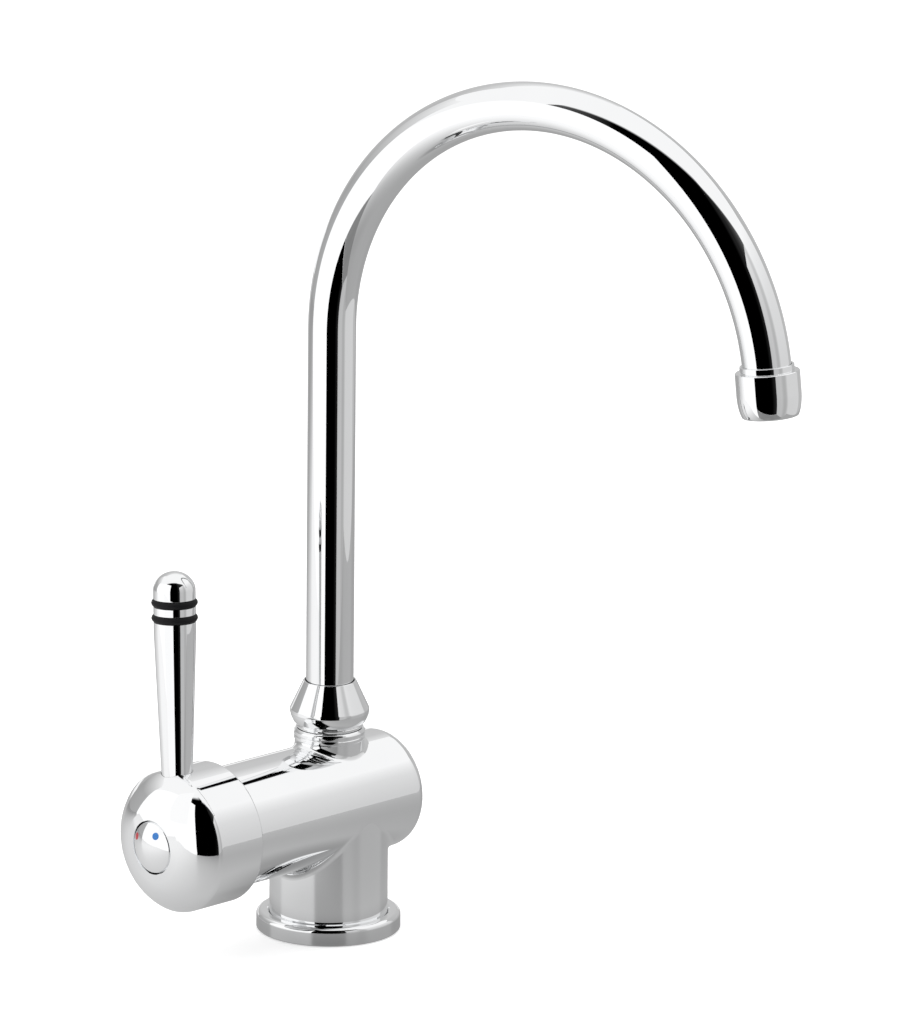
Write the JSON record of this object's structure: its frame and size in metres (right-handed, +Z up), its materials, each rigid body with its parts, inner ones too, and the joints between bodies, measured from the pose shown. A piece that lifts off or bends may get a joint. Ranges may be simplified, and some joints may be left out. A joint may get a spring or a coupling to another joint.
{
  "type": "kitchen mixer tap",
  "caption": "Deck-mounted single-lever mixer with a tall swivelling swan-neck spout, a horizontal cartridge barrel and an upright side lever.",
  "frame": {"origin": "centre of the base's underside on the deck, at the mouth of the clamping stud's hole", "axes": "+Z up along the spout's swivel axis; the cartridge barrel lies along X with the handle towards -X; the spout reaches towards -Y, turned 10.7 degrees towards +X"},
  "size_m": [0.1408, 0.2296, 0.339],
  "materials": {
    "chrome_plate": "polished chrome plate on brass",
    "bare_brass": "turned brass, bare",
    "stainless_steel": "stainless steel",
    "ceramic": "lapped ceramic, off-white",
    "black_rubber": "black rubber",
    "white_plastic": "white acetal",
    "grey_plastic": "grey acetal",
    "red_enamel": "red enamel",
    "blue_enamel": "blue enamel"
  },
  "bodies": {
    "body": {"body_casting": "chrome_plate", "base_ring": "chrome_plate", "base_gasket": "black_rubber", "neck_trim_ring": "chrome_plate", "spout_collar": "chrome_plate", "swivel_bearing": "white_plastic", "swivel_washer": "white_plastic", "cartridge_base": "grey_plastic", "hot_port_seal": "black_rubber", "cold_port_seal": "black_rubber", "outlet_port_seal": "black_rubber", "fixed_disc": "ceramic", "cartridge_housing": "white_plastic", "cartridge_nut": "bare_brass", "cover_dome": "chrome_plate"},
    "spout": {"spout_tube": "chrome_plate", "spout_spigot": "bare_brass", "spout_o_ring_lower": "black_rubber", "spout_o_ring_upper": "black_rubber", "outlet_sleeve": "bare_brass", "outlet_washer": "black_rubber", "aerator_housing": "chrome_plate", "aerator_insert": "grey_plastic", "aerator_screen": "grey_plastic"},
    "rotor": {"cartridge_rotor": "grey_plastic", "pivot_pin": "stainless_steel"},
    "disc": {"moving_disc": "ceramic", "disc_carrier": "grey_plastic"},
    "handle": {"lever_stem": "bare_brass", "handle_cap": "chrome_plate", "handle_screw": "stainless_steel", "index_button": "chrome_plate", "red_dot": "red_enamel", "blue_dot": "blue_enamel", "lever_pin": "chrome_plate", "lever_o_ring_lower": "black_rubber", "lever_o_ring_upper": "black_rubber"}
  },
  "joints": [
    {"name": "spout_swivel", "type": "hinge", "parent": "body", "child": "spout", "pos_m": [0, 0, 0.0896], "axis": [0, 0, 1], "continuous": true},
    {"name": "temperature_turn", "type": "hinge", "parent": "body", "child": "rotor", "pos_m": [0, 0, 0.0498], "axis": [-1, 0, 0], "range_deg": [-45, 45]},
    {"name": "lever_lift", "type": "hinge", "parent": "rotor", "child": "handle", "pos_m": [-0.0514, 0, 0.0498], "axis": [0, -1, 0], "range_deg": [0, 24]},
    {"name": "disc_slide", "type": "slide", "parent": "rotor", "child": "disc", "axis": [0, 0, 1], "range_m": [0, 0.00489]}
  ],
  "couplings": [
    {"joint": "disc_slide", "follows": "lever_lift", "m_per_rad": 0.011652}
  ]
}
